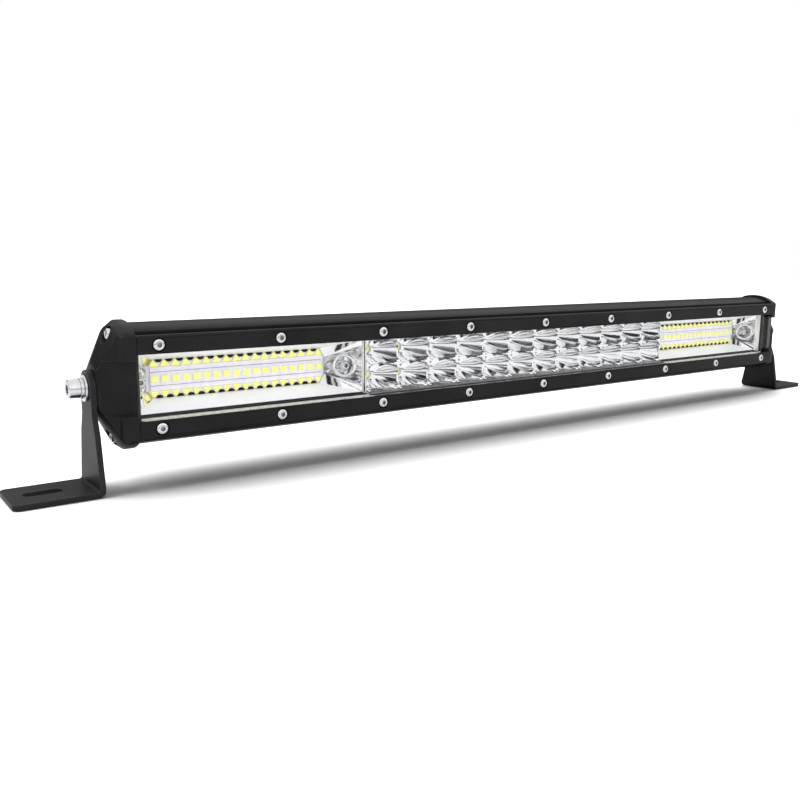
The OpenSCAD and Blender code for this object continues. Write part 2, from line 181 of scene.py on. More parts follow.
def mix(tree, factor, a, b, kind="RGBA"):
    """Mixes two colours, or two numbers with kind FLOAT. Each may be a socket or a constant."""
    node = add(tree, "ShaderNodeMix", data_type=kind)
    first, second, result = (6, 7, 2) if kind == "RGBA" else (2, 3, 0)
    for index, value in ((0, factor), (first, a), (second, b)):
        socket = node.inputs[index]
        if isinstance(value, bpy.types.NodeSocket):
            tree.links.new(value, socket)
        else:
            socket.default_value = (*value, 1) if kind == "RGBA" and index else value
    return node.outputs[result]


def place_masks(tree):
    """The shaded point's distance from the bar's middle, height off the axis, and depth, in metres."""
    coords = add(tree, "ShaderNodeTexCoord")
    split = add(tree, "ShaderNodeSeparateXYZ")
    tree.links.new(coords.outputs["Object"], split.inputs["Vector"])
    along = calculate(tree, "ABSOLUTE", split.outputs["X"])
    height = calculate(tree, "ABSOLUTE", calculate(tree, "SUBTRACT", split.outputs["Z"], AXIS_Z))
    depth = calculate(tree, "SUBTRACT", split.outputs["Y"], FRONT_Y)
    return along, height, depth


def beside_troughs(tree, along):
    """1 along the two troughs and 0 along the cups and beyond the troughs' ends."""
    return calculate(tree, "MULTIPLY", calculate(tree, "GREATER_THAN", along, FLOOD_IN * MM),
                     calculate(tree, "LESS_THAN", along, (FLOOD_OUT - END_MARGIN) * MM))


def powder_coat(name, dark, light, rough, grain=2600, edge_rub_and_highlight=0.35, specular=0.2, painted_lip_and_edge_light=False,
                edge_rub_and_highlight_colour=(0.16, 0.16, 0.165)):
    """Black powder coat: fine orange peel, cloudy tone, and edges made lighter, partly as rubbed wear
    and partly as a painted highlight. With the lip option, the faces that look into the window are
    uncoated polished metal whose colour paints a reflection, bright beside the troughs and dark along
    the cups, and the lighter edges start only at the rails' outer edge, painting its highlight line."""
    material, tree, shader = new_material(name)
    cloud = noise(tree, 45, 4)
    grains = noise(tree, grain, 2)
    tone = ramp(tree, cloud, 0.35, 0.7, (dark, light))
    # Lighter edges: partly rubbed wear, partly a painted highlight where the edges catch the light.
    rubbed_and_lit_edges = calculate(tree, "MULTIPLY", edge_mask(tree, 0.5 * MM),
                     spread(tree, noise(tree, 500, 4), 0.0, edge_rub_and_highlight))
    roughness = spread(tree, cloud, rough - 0.06, rough + 0.07)
    if painted_lip_and_edge_light:
        along, height, depth = place_masks(tree)
        # With the lip option the lighter edges are kept to the rails' outer edge, painting the
        # highlight line along its top front edge.
        outer_edge = calculate(tree, "GREATER_THAN", height,
                               (WINDOW_Z + RAIL_HEIGHT - RAIL_CHAMFER) * MM)
        rubbed_and_lit_edges = calculate(tree, "MULTIPLY", rubbed_and_lit_edges, outer_edge)
    colour = mix(tree, rubbed_and_lit_edges, tone, edge_rub_and_highlight_colour)
    if painted_lip_and_edge_light:
        inside = calculate(tree, "LESS_THAN", height, (WINDOW_Z + HAIR) * MM)
        shallow = calculate(tree, "LESS_THAN", depth, (SKIRT_DEPTH + 0.1) * MM)
        lip = calculate(tree, "MULTIPLY", inside, shallow)
        lip = calculate(tree, "MULTIPLY", lip, calculate(tree, "LESS_THAN", along, FLOOD_OUT * MM))
        # Painted reflection: the lip's metal colour is bright beside the lit white troughs and dark
        # along the cups.
        lit = mix(tree, beside_troughs(tree, along), (0.2, 0.2, 0.205), (0.92, 0.92, 0.92))
        streaks = ramp(tree, noise(tree, 700, 3, (0.05, 1, 1)), 0.3, 0.7, ((0.8, 0.8, 0.8), (1, 1, 1)))
        product = add(tree, "ShaderNodeVectorMath", operation="MULTIPLY")
        tree.links.new(lit, product.inputs[0])
        tree.links.new(streaks, product.inputs[1])
        colour = mix(tree, lip, colour, product.outputs["Vector"])
        roughness = mix(tree, lip, roughness, 0.22, "FLOAT")
        tree.links.new(lip, shader.inputs["Metallic"])
    tree.links.new(colour, shader.inputs["Base Color"])
    tree.links.new(roughness, shader.inputs["Roughness"])
    shader.inputs["Specular IOR Level"].default_value = specular
    bump(tree, shader, grains, 0.2, 0.06 * MM)
    return material


def turned_steel(name, colour=(0.8, 0.8, 0.82), rough=0.18):
    """Bright stainless fasteners: faint turning marks and small differences in gloss."""
    material, tree, shader = new_material(name)
    fine = noise(tree, 1800, 3)
    tree.links.new(ramp(tree, noise(tree, 160, 3), 0.3, 0.7,
                        (tuple(c * 0.86 for c in colour), colour)), shader.inputs["Base Color"])
    shader.inputs["Metallic"].default_value = 1.0
    tree.links.new(spread(tree, fine, rough - 0.06, rough + 0.1), shader.inputs["Roughness"])
    bump(tree, shader, fine, 0.1, 0.02 * MM)
    return material


def metallised(name, tint=(0.97, 0.97, 0.975), rough=0.06, wobble=0.12, size=150, low=0.95,
               swirl=None):
    """Vacuum-metallised plastic: a mirror with the slight waves of a moulded part. Its darkest
    tone is low times its tint; swirl makes that a pattern of its own, and curls it."""
    material, tree, shader = new_material(name)
    haze = noise(tree, 900, 3)
    cloud = haze
    if swirl is not None:
        cloud = noise(tree, 170, 2, (1, 1, 2))
        cloud.node.inputs["Distortion"].default_value = swirl
    tree.links.new(ramp(tree, cloud, 0.35, 0.65, (tuple(c * low for c in tint), tint)),
                   shader.inputs["Base Color"])
    shader.inputs["Metallic"].default_value = 1.0
    tree.links.new(spread(tree, haze, max(rough - 0.03, 0.02), rough + 0.05),
                   shader.inputs["Roughness"])
    bump(tree, shader, noise(tree, size, 2), wobble, 0.35 * MM)
    return material


def white_reflector(name):
    """White satin wall of a trough."""
    material, tree, shader = new_material(name)
    cloud = noise(tree, 120, 3)
    tree.links.new(ramp(tree, cloud, 0.3, 0.7, ((0.93, 0.93, 0.96), (0.97, 0.97, 0.99))),
                   shader.inputs["Base Color"])
    tree.links.new(spread(tree, cloud, 0.28, 0.4), shader.inputs["Roughness"])
    shader.inputs["Coat Weight"].default_value = 0.3
    bump(tree, shader, noise(tree, 1500, 2), 0.08, 0.03 * MM)
    return material


def solder_mask(name, low, high):
    """White solder mask with the faint relief of the tracks under it."""
    material, tree, shader = new_material(name)
    cloud = noise(tree, 300, 3)
    tree.links.new(ramp(tree, cloud, 0.35, 0.65, (low, high)), shader.inputs["Base Color"])
    tree.links.new(spread(tree, cloud, 0.3, 0.45), shader.inputs["Roughness"])
    bump(tree, shader, cloud, 0.15, 0.06 * MM)
    return material


def phosphor(name):
    """Pale yellow resin over the chips: grainy, slightly glossy, with a faint painted glow."""
    material, tree, shader = new_material(name)
    grains = noise(tree, 3200, 3)
    tree.links.new(ramp(tree, grains, 0.3, 0.75, ((0.9, 0.88, 0.14), (0.96, 0.95, 0.36))),
                   shader.inputs["Base Color"])
    tree.links.new(spread(tree, grains, 0.3, 0.5), shader.inputs["Roughness"])
    shader.inputs["Coat Weight"].default_value = 0.25
    # Painted glow: a faint emission that brightens the resin.
    shader.inputs["Emission Color"].default_value = (1.0, 0.95, 0.3, 1)
    shader.inputs["Emission Strength"].default_value = 0.15
    bump(tree, shader, grains, 0.2, 0.05 * MM)
    return material


def clear_lens(name):
    """Clear polycarbonate: see-through, with a glossy outer skin that's stronger at a low angle."""
    material = bpy.data.materials.new(name)
    material.use_nodes = True
    tree = material.node_tree
    tree.nodes.clear()
    output = add(tree, "ShaderNodeOutputMaterial")
    clear = add(tree, "ShaderNodeBsdfTransparent")
    clear.inputs["Color"].default_value = (0.99, 0.993, 0.995, 1)
    gloss = add(tree, "ShaderNodeBsdfGlossy")
    gloss.inputs["Roughness"].default_value = 0.04
    fresnel = add(tree, "ShaderNodeFresnel")
    fresnel.inputs["IOR"].default_value = 1.25
    relief = add(tree, "ShaderNodeBump")
    relief.inputs["Strength"].default_value = 0.05
    relief.inputs["Distance"].default_value = 0.1 * MM
    tree.links.new(noise(tree, 60, 3), relief.inputs["Height"])
    tree.links.new(relief.outputs["Normal"], gloss.inputs["Normal"])
    geometry = add(tree, "ShaderNodeNewGeometry")
    front = calculate(tree, "SUBTRACT", 1.0, geometry.outputs["Backfacing"])
    skins = add(tree, "ShaderNodeMixShader")
    tree.links.new(calculate(tree, "MULTIPLY", fresnel.outputs["Fac"], front), skins.inputs["Fac"])
    tree.links.new(clear.outputs["BSDF"], skins.inputs[1])
    tree.links.new(gloss.outputs["BSDF"], skins.inputs[2])
    tree.links.new(skins.outputs["Shader"], output.inputs["Surface"])
    return material


def soft_rubber(name, tone, rough=0.6, painted_shade_off_troughs=False):
    """Grainy rubber. When asked to, it keeps that tone beside the troughs and is painted black
    elsewhere, as shade along the cups and past the troughs' ends.
    """
    material, tree, shader = new_material(name)
    grains = noise(tree, 1400, 3)
    colour = ramp(tree, grains, 0.3, 0.7, (tuple(c * 0.8 for c in tone), tone))
    if painted_shade_off_troughs:
        # Painted shade: black where the gasket runs along the cups and past the troughs' ends.
        colour = mix(tree, beside_troughs(tree, place_masks(tree)[0]), (0.03, 0.03, 0.03), colour)
    tree.links.new(colour, shader.inputs["Base Color"])
    tree.links.new(spread(tree, grains, rough - 0.05, rough + 0.15), shader.inputs["Roughness"])
    shader.inputs["Specular IOR Level"].default_value = 0.25
    bump(tree, shader, grains, 0.25, 0.06 * MM)
    return material


def pale_floor(name):
    """Plain matt white, which looks a little darker in reflections than to the camera."""
    material, tree, shader = new_material(name)
    path = add(tree, "ShaderNodeLightPath")
    cloud = ramp(tree, noise(tree, 2, 2), 0.2, 0.8, ((0.94, 0.94, 0.94), (0.96, 0.96, 0.96)))
    tree.links.new(mix(tree, path.outputs["Is Glossy Ray"], cloud, (0.55, 0.55, 0.55)),
                   shader.inputs["Base Color"])
    shader.inputs["Roughness"].default_value = 0.9
    shader.inputs["Specular IOR Level"].default_value = 0.1
    return material


MATERIALS = {
    # Each coat's lighter edges are partly rubbed wear and partly a painted edge highlight; the
    # housing's and rails' window lips paint a reflection of the troughs.
    "housing": powder_coat("housing_coat", (0.005, 0.005, 0.0055), (0.009, 0.009, 0.0095),
                           rough=0.32, specular=0.08, painted_lip_and_edge_light=True),
    "cap": powder_coat("cap_coat", (0.005, 0.005, 0.0055), (0.009, 0.009, 0.0095),
                       rough=0.38, grain=2200, edge_rub_and_highlight=0.7, specular=0.16, edge_rub_and_highlight_colour=(0.18, 0.18, 0.185)),
    "rail": powder_coat("rail_coat", (0.006, 0.006, 0.0065), (0.01, 0.01, 0.011),
                        rough=0.42, grain=3000, edge_rub_and_highlight=0.9, specular=0.15, painted_lip_and_edge_light=True,
                        edge_rub_and_highlight_colour=(0.4, 0.4, 0.41)),
    "bracket": powder_coat("bracket_coat", (0.008, 0.008, 0.0085), (0.015, 0.015, 0.016),
                           rough=0.4, grain=1500, edge_rub_and_highlight=0.6, specular=0.17),
    "steel": turned_steel("bright_stainless"),
    "mirror": metallised("mirror_plating"),
    # The troughs' end facets: darkened, swirled plating that paints dark reflections into the mirror's
    # colour.
    "facet": metallised("painted_reflection_plating", (0.78, 0.78, 0.8), rough=0.1, wobble=0.7, size=110,
                        low=0.22, swirl=2.2),
    "skirt": metallised("skirt_plating", (0.42, 0.42, 0.43), rough=0.25, wobble=0.3, size=90,
                        low=0.3, swirl=0.0),
    # Dark steel for the screws' sockets: painted shade inside the socket.
    "painted_socket_shade": turned_steel("painted_socket_shade_steel", (0.3, 0.3, 0.31), rough=0.3),
    "trough_white": white_reflector("trough_white"),
    "board": solder_mask("board_mask", (0.8, 0.79, 0.84), (0.9, 0.89, 0.94)),
    "strip": solder_mask("strip_mask", (0.86, 0.84, 0.94), (0.94, 0.925, 0.99)),
    "package": solder_mask("package_white", (0.86, 0.86, 0.84), (0.94, 0.94, 0.9)),
    "phosphor": phosphor("phosphor_resin"),
    "trace": solder_mask("violet_trace", (0.36, 0.32, 0.42), (0.5, 0.46, 0.56)),
    "lens": clear_lens("clear_polycarbonate"),
    # The gasket is white beside the troughs and painted dark as shade elsewhere.
    "white_rubber": soft_rubber("white_silicone", (0.97, 0.97, 0.97), painted_shade_off_troughs=True),
    "black_rubber": soft_rubber("black_rubber", (0.012, 0.012, 0.012)),
    "gland": soft_rubber("gland_nylon", (0.014, 0.014, 0.015), rough=0.45),
    # Black standing in for shadow: painted shadow in the gaps between the diodes' tips and on the
    # troughs' long rims.
    "painted_shadow_black": soft_rubber("painted_shadow_black", (0.006, 0.006, 0.006), rough=0.7),
}


# ================================================================ CAD nodes that stay
CORNER_ANGLE = 32


def dress(names, key, bevel_mm=0.0, weld_mm=0.002):
    """Gives carried-over CAD nodes their material and a small rounding on their edges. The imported
    meshes are split along their edges, so they're welded before they can be rounded."""
    for name in names:
        piece = NODES[name]
        piece.data.materials.clear()
        piece.data.materials.append(MATERIALS[key])
        if not bevel_mm:
            shade(piece, CORNER_ANGLE)
            continue
        for polygon in piece.data.polygons:
            polygon.use_smooth = True
        piece.modifiers.new("weld", "WELD").merge_threshold = weld_mm * MM
        round_edges(piece, bevel_mm, CORNER_ANGLE).use_clamp_overlap = False
        piece.modifiers.new("flat_faces", "WEIGHTED_NORMAL")


def round_edges(piece, bevel_mm, angle):
    """Rounds the edges where the faces turn by more than an angle."""
    rounding = piece.modifiers.new("rounding", "BEVEL")
    rounding.width = bevel_mm * MM
    rounding.segments = 2
    rounding.limit_method = "ANGLE"
    rounding.angle_limit = math.radians(angle)
    return rounding


def shade(piece, angle):
    """Smooth shading, kept sharp at corners where the faces turn by more than an angle."""
    for polygon in piece.data.polygons:
        polygon.use_smooth = True
    split = piece.modifiers.new("corners", "EDGE_SPLIT")
    split.split_angle = math.radians(angle)
    split.use_edge_sharp = False


def dress_cad_nodes():
    """Material and rounding of every CAD node that shows."""
    dress(["housing"], "housing", 0.35)
    dress(["left_end_cap", "right_end_cap"], "cap", 0.2)
    dress(["top_rail", "bottom_rail"], "rail", 0.25)
    dress(["left_bracket", "right_bracket"], "bracket", 0.2, weld_mm=0.1)
    dress(["left_end_gasket", "right_end_gasket", "gland_seal"], "black_rubber")
    dress(["lens_gasket"], "white_rubber")
    dress(["lens"], "lens")
    dress(["left_flood_board", "right_flood_board", "spot_board"], "board")
    dress(["left_flood_strip", "right_flood_strip"], "strip", 0.15)
    dress(["spot_leds"], "phosphor", 0.2)
    dress(["board_screws", "left_side_bolt", "right_side_bolt", "left_spring_washer",
           "right_spring_washer", "left_flat_washer", "right_flat_washer"], "steel", 0.15)
    dress(["cable_gland"], "gland", 0.25)
    dress(["gland_nut"], "gland")


# ================================================================ new pieces
def finish_piece(work, name, keys, body, nodes=(), angle=30, bevel_mm=0.0):
    """Turns mesh work into a named piece with its materials, riding on a CAD body."""
    bmesh.ops.remove_doubles(work, verts=work.verts, dist=0.002 * MM)
    bmesh.ops.dissolve_degenerate(work, edges=work.edges, dist=0.0005 * MM)
    bmesh.ops.recalc_face_normals(work, faces=work.faces)
    mesh = bpy.data.meshes.new(name)
    work.to_mesh(mesh)
    work.free()
    piece = bpy.data.objects.new(name, mesh)
    bpy.context.scene.collection.objects.link(piece)
    for key in keys:
        mesh.materials.append(MATERIALS[key])
    if bevel_mm:
        round_edges(piece, bevel_mm, angle)
    shade(piece, angle)
    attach(piece, body)
    if nodes:
        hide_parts(*nodes)
    return piece


def skin(work, lower, upper, material=0):
    """Quads between two rings of vertices with the same count."""
    for i in range(len(lower)):
        j = (i + 1) % len(lower)
        work.faces.new([lower[i], lower[j], upper[j], upper[i]]).material_index = material


def ring(work, points):
    """A vertex at each (along, depth, height) point, in mm."""
    return [work.verts.new(place(*p)) for p in points]


# ---------------------------------------------------------------- cup reflector
CUP_COLUMNS = 12
CUP_ROWS = 2
CUP_AREA_HALF = SPOT_HALF - 0.5
CUP_AREA_Z = 14.0
CUP_HALF_X = CUP_AREA_HALF / CUP_COLUMNS
CUP_HALF_Z = CUP_AREA_Z / CUP_ROWS
FLATTEN_Z = 0.72     # the rows meet lower down than the columns do
THROAT_SHARE = 0.25
RIB_SHARE = 0.955    # the cups end here and the rounded ribs between them begin
SIDE_RISE = 15.8
CUP_TOP = 9.2
FACET_CROWN = 1.4
CUP_STEPS = 11
EDGE_STEPS = 4
END_DROP = 2.0       # how much lower the frame stands across the ends
RIM_STEP = 0.9
SKIRT_GAP = 0.35
NEAR = 1e-6


def facet_distance(x, z):
    """Distance from the cup's middle measured square to its nearest of eight facets, and how
    far along that facet the point lies, from -1 to 1."""
    z = z * FLATTEN_Z
    angle = math.atan2(z, x)
    step = math.pi / 4
    off = angle - round(angle / step) * step
    return math.hypot(x, z) * math.cos(off), off / (step / 2)


def cup_depth(x, z):
    """Depth of a cup's surface at a point given in shares of its half width and half height."""
    x = max(-RIB_SHARE, min(RIB_SHARE, x))
    z = max(-RIB_SHARE, min(RIB_SHARE, z))
    reach, along = facet_distance(x, z)
    share = max(0.0, (reach ** 2 - THROAT_SHARE ** 2) / (1 - THROAT_SHARE ** 2))
    crown = FACET_CROWN * (1 - along ** 2) * min(share, 1.0) * (1.15 - min(share, 1.0))
    return max(CUP_TOP, BACK_DEPTH - SIDE_RISE * share - crown)


def cup_outline():
    """Points around the square from -1 to 1, with every crease and corner among them."""
    crease = math.tan(math.pi / 8)
    quarter = [(1, 0), (1, crease / FLATTEN_Z), (1, 1), (crease * FLATTEN_Z, 1), (0, 1)]
    fine = []
    for (x0, z0), (x1, z1) in zip(quarter, quarter[1:]):
        for i in range(EDGE_STEPS):
            t = i / EDGE_STEPS
            fine.append((x0 + (x1 - x0) * t, z0 + (z1 - z0) * t))
    half = fine + [(0.0, 1.0)] + [(-x, z) for x, z in reversed(fine)]
    return half + [(x, -z) for x, z in reversed(half[1:-1])]


def add_cup(work, outline, middle_x, middle_z):
    """One cup, from its eight-sided throat to the middle of the ribs around it, and its flat back."""
    def at(x, depth, z):
        """A point given in shares of the cup's half width and half height."""
        return middle_x + x * CUP_HALF_X, depth, middle_z + z * CUP_HALF_Z

    throats = [THROAT_SHARE / facet_distance(x, z)[0] for x, z in outline]
    throat = ring(work, [at(x * s, BACK_DEPTH, z * s) for (x, z), s in zip(outline, throats)])
    below = throat
    for i in range(1, CUP_STEPS + 2):    # the step after the last reaches over the rounded rib
        points = []
        for (x, z), s in zip(outline, throats):
            share = s + (RIB_SHARE - s) * (i / CUP_STEPS) if i <= CUP_STEPS else 1.0
            points.append(at(x * share, cup_depth(x * share, z * share), z * share))
        above = ring(work, points)
        skin(work, below, above)
        below = above
    skin(work, throat, ring(work, [at(x, BACK_DEPTH, z) for x, z in outline]))


def share_in_cell(value, half, count):
    """Where a place along the frame lies in its own cup, from -1 to 1."""
    cell = min(count - 1, max(0, int((value / half + count) / 2)))
    return value / half - (2 * cell + 1 - count)


def edge_depth(x, z):
    """Depth of the cups' surface where it meets the frame."""
    if abs(abs(z) - CUP_AREA_Z) < NEAR:
        return cup_depth(share_in_cell(x, CUP_HALF_X, CUP_COLUMNS), 1)
    return cup_depth(1, share_in_cell(z, CUP_HALF_Z, CUP_ROWS))


def cup_frame_depth(depth, x, z):
    """The frame stands lower across the ends than along the long sides."""
    low = abs(x) > CUP_AREA_HALF - NEAR and abs(z) < CUP_AREA_Z - NEAR
    return depth + END_DROP if low and depth < BACK_DEPTH else depth


def make_cups():
    """The cups, and the frame around them: a grey step that's bright across the ends, a bright
    front rim, grey sides and a black back."""
    mirror, black, plated = 0, 1, 2
    work = bmesh.new()
    outline = cup_outline()
    for column in range(CUP_COLUMNS):
        for row in range(CUP_ROWS):
            add_cup(work, outline, (2 * column + 1 - CUP_COLUMNS) * CUP_HALF_X,
                    (2 * row + 1 - CUP_ROWS) * CUP_HALF_Z)
    edge_x = sorted({round((2 * column + 1 - CUP_COLUMNS + p[0]) * CUP_HALF_X, 6)
                     for column in range(CUP_COLUMNS) for p in outline if p[1] == 1})
    edge_z = sorted({round((2 * row + 1 - CUP_ROWS + p[1]) * CUP_HALF_Z, 6)
                     for row in range(CUP_ROWS) for p in outline if p[0] == 1})
    loop = [(x, -CUP_AREA_Z) for x in edge_x[:-1]] + [(CUP_AREA_HALF, z) for z in edge_z[:-1]]
    loop += [(-x, -z) for x, z in loop]

    def scaled(depth, x_half, z_half):
        """The cups' outline grown to another half length and half height."""
        return ring(work, [(x * x_half / CUP_AREA_HALF, cup_frame_depth(depth, x, z),
                            z * z_half / CUP_AREA_Z) for x, z in loop])

    cup_edge = ring(work, [(x, edge_depth(x, z), z) for x, z in loop])
    rim_in = scaled(SKIRT_DEPTH + RIM_STEP, SPOT_HALF - SKIRT_GAP, SKIRT_Z)
    skirt = scaled(SKIRT_DEPTH, SPOT_HALF - SKIRT_GAP, SKIRT_Z)
    front = scaled(SKIRT_DEPTH, SPOT_HALF, SHELL_Z)
    back_out = scaled(BACK_DEPTH, SPOT_HALF, SHELL_Z)
    back_in = ring(work, [(x, BACK_DEPTH, z) for x, z in loop])
    skin(work, cup_edge, rim_in, plated)
    skin(work, rim_in, skirt, plated)
    work.normal_update()
    for face in work.faces:
        if face.material_index == plated and abs(face.normal.x) > 0.7:
            face.material_index = mirror
    skin(work, skirt, front, mirror)
    skin(work, front, back_out, plated)
    skin(work, back_out, back_in, black)
    finish_piece(work, "cup_reflector", ["mirror", "painted_shadow_black", "skirt"], "light_bar",
                 ["spot_reflector"], angle=16)


# ---------------------------------------------------------------- trough reflectors
THROAT_END = 48.4
THROAT_CORNER_STEP = 3.0
THROAT_Z = 9.3
MOUTH_Z = 13.9
MOUTH_GAP = 0.6
FACET_THROAT_Z = 4.5
FACET_MOUTH_Z = 11.0
STEP_GAP = 0.4
LIP_HEIGHT = 1.0
END_LOW_Z = 13.6     # half height of the low part of the frame, at the end next to the cups
END_LOW_SHARE = 0.4  # how much of the frame's height that part keeps
ROUNDING = 0.35
COLLAR_R = 5.5
COLLAR_HALF_WIDTH = 0.95
COLLAR_HEIGHT = 0.75


def side_word(side):
    """The name of the bar's half with a negative or a positive X."""
    return "left" if side < 0 else "right"


def make_trough(side):
    """One trough: white upper and lower walls, and at each end a grey tapered facet between two
    bright corner facets, with a seat for a screw."""
    work = bmesh.new()
    mouth_in, mouth_out = FLOOD_IN + MOUTH_GAP, FLOOD_OUT - MOUTH_GAP
    throat_in, throat_out = TROUGH_X - THROAT_END, TROUGH_X + THROAT_END
    throat = [(throat_out, -FACET_THROAT_Z), (throat_out, FACET_THROAT_Z),
              (throat_out - THROAT_CORNER_STEP, THROAT_Z), (throat_in + THROAT_CORNER_STEP, THROAT_Z),
              (throat_in, FACET_THROAT_Z), (throat_in, -FACET_THROAT_Z),
              (throat_in + THROAT_CORNER_STEP, -THROAT_Z), (throat_out - THROAT_CORNER_STEP, -THROAT_Z)]
    mouth = [(mouth_out, -FACET_MOUTH_Z), (mouth_out, FACET_MOUTH_Z), (mouth_out, MOUTH_Z),
             (mouth_in, MOUTH_Z), (mouth_in, FACET_MOUTH_Z), (mouth_in, -FACET_MOUTH_Z),
             (mouth_in, -MOUTH_Z), (mouth_out, -MOUTH_Z)]

    def frame_loop(x_in, x_out, z_half):
        """A rectangle with two more points on each end, where the low part begins."""
        return [(x_out, -END_LOW_Z), (x_out, END_LOW_Z), (x_out, z_half), (x_in, z_half),
                (x_in, END_LOW_Z), (x_in, -END_LOW_Z), (x_in, -z_half), (x_out, -z_half)]

    step = frame_loop(FLOOD_IN + STEP_GAP, FLOOD_OUT - STEP_GAP, SKIRT_Z)
    outer = frame_loop(FLOOD_IN, FLOOD_OUT, SHELL_Z)

    def depth_at(depth, x, z):
        """The frame stands lower across the end next to the cups."""
        low = x < TROUGH_X and abs(z) <= END_LOW_Z and depth < RIM_DEPTH
        return RIM_DEPTH - (RIM_DEPTH - depth) * END_LOW_SHARE if low else depth

    stations = ((throat, BACK_DEPTH), (mouth, RIM_DEPTH), (step, RIM_DEPTH),
                (step, RIM_DEPTH - LIP_HEIGHT), (step, SKIRT_DEPTH), (outer, SKIRT_DEPTH),
                (outer, BACK_DEPTH))
    loops = [ring(work, [(side * x, depth_at(depth, x, z), z) for x, z in points])
             for points, depth in stations]
    mirror, facet, wall, black = 0, 1, 2, 3
    # The end facets take the darkened plating, a painted reflection.
    kinds = [facet, mirror, wall, mirror, facet, mirror, wall, mirror]
    for i, kind in enumerate(kinds):
        j = (i + 1) % 8
        a, b, c, d = loops[0][i], loops[0][j], loops[1][j], loops[1][i]
        # a corner facet is creased from the end facet at the throat to the corner of the mouth
        if kind == mirror:
            halves = ((a, b, c), (a, c, d)) if i in (1, 5) else ((a, b, d), (b, c, d))
            for corners in halves:
                work.faces.new(corners).material_index = mirror
        else:
            work.faces.new((a, b, c, d)).material_index = kind
    for i in range(8):
        j = (i + 1) % 8
        long_side = i in (2, 6)
        # Along the long sides every frame face is black, the front rim among them: painted shadow.
        rim = [black] * 6 if long_side else [mirror, mirror, wall, mirror, black, black]
        for k, kind in enumerate(rim, 1):
            upper = loops[(k + 1) % len(loops)]
            work.faces.new((loops[k][i], loops[k][j], upper[j], upper[i])).material_index = kind
    piece = finish_piece(work, side_word(side) + "_trough_reflector",
                         ["mirror", "facet", "trough_white", "painted_shadow_black"], "light_bar",
                         [side_word(side) + "_flood_reflector"], angle=10)
    for x in SEAT_PLACES:
        cut_seat(piece, side * x)
        make_collar(side, x)
    round_edges(piece, ROUNDING, 9)
    shade(piece, 30)


def cut_seat(piece, x):
    """Cuts a flat round seat for a screw through the sloping facet."""
    angles = [i * math.pi / 24 for i in range(48)]
    well_forward = 5.0
    work = bmesh.new()
    front = ring(work, [(x + SEAT_R * math.cos(a), well_forward, SEAT_R * math.sin(a)) for a in angles])
    back = ring(work, [(x + SEAT_R * math.cos(a), SEAT_DEPTH, SEAT_R * math.sin(a)) for a in angles])
    skin(work, front, back)
    work.faces.new(front)
    work.faces.new(back)
    bmesh.ops.recalc_face_normals(work, faces=work.faces)
    mesh = bpy.data.meshes.new("cutter")
    work.to_mesh(mesh)
    work.free()
    cutter = bpy.data.objects.new("cutter", mesh)
    bpy.context.scene.collection.objects.link(cutter)
    piece.modifiers.clear()
    boolean = piece.modifiers.new("seat", "BOOLEAN")
    boolean.operation = "DIFFERENCE"
    boolean.solver = "EXACT"
    boolean.object = cutter
    graph = bpy.context.evaluated_depsgraph_get()
    result = bpy.data.meshes.new_from_object(piece.evaluated_get(graph))
    old = piece.data
    piece.modifiers.clear()
    piece.data = result
    bpy.data.meshes.remove(old)
    bpy.data.objects.remove(cutter)
    bpy.data.meshes.remove(mesh)


def make_collar(side, x):
    """Raised round collar about a screw seat, lying on the sloping facet."""
    inner = x < TROUGH_X
    throat = TROUGH_X - THROAT_END if inner else TROUGH_X + THROAT_END
    mouth = FLOOD_IN + MOUTH_GAP if inner else FLOOD_OUT - MOUTH_GAP
    run = Vector((side * (mouth - throat), RIM_DEPTH - BACK_DEPTH, 0)).normalized()
    share = (x - throat) / (mouth - throat)
    middle = place(side * x, BACK_DEPTH + share * (RIM_DEPTH - BACK_DEPTH), 0)
    across = Vector((0, 0, 1))
    normal = run.cross(across).normalized()
    if normal.y > 0:
        normal = -normal
    work = bmesh.new()
    around, tube = 72, 10
    rings = []
    for i in range(around):
        angle = 2 * math.pi * i / around
        out = run * math.cos(angle) + across * math.sin(angle)
        loop = []
        for k in range(tube):
            turn = 2 * math.pi * k / tube
            radius = COLLAR_R + COLLAR_HALF_WIDTH * math.cos(turn)
            rise = normal * COLLAR_HEIGHT * math.sin(turn)
            loop.append(work.verts.new(middle + out * radius * MM + rise * MM))
        rings.append(loop)
    for i in range(around):
        skin(work, rings[i], rings[(i + 1) % around])
    name = side_word(side) + ("_inner" if inner else "_outer") + "_seat_collar"
    finish_piece(work, name, ["mirror"], "light_bar", angle=60)


# ---------------------------------------------------------------- diodes on their strips
DIODES_IN_ROW = 18
DIODE_PITCH = 5.25
STRIP_FRONT = (STRIP_LOW[1] - FRONT_Y) / MM - 0.02
BOARD_FRONT = 25.55
PACKAGE_HALF_X = 2.1
PACKAGE_HALF_Z = 2.0
RESIN_HALF = 1.6
BASE_HALF = 2.3      # the outer rows' diodes narrow from the base to the tip
BASE_Z = 5.75
TIP_HALF = 0.5
TIP_Z = 8.9
# Painted shadow: black half rounds in the gaps between the outer rows' tips.
SHADOW_GAP_HALF_X = 1.75   # dark half round gaps between those tips
SHADOW_GAP_Z = 9.25
SHADOW_GAP_RISE = 1.55
TRACK_Z = 3.3
TRACK_HALF = 46.2
TRACK_HALF_Z = 0.2


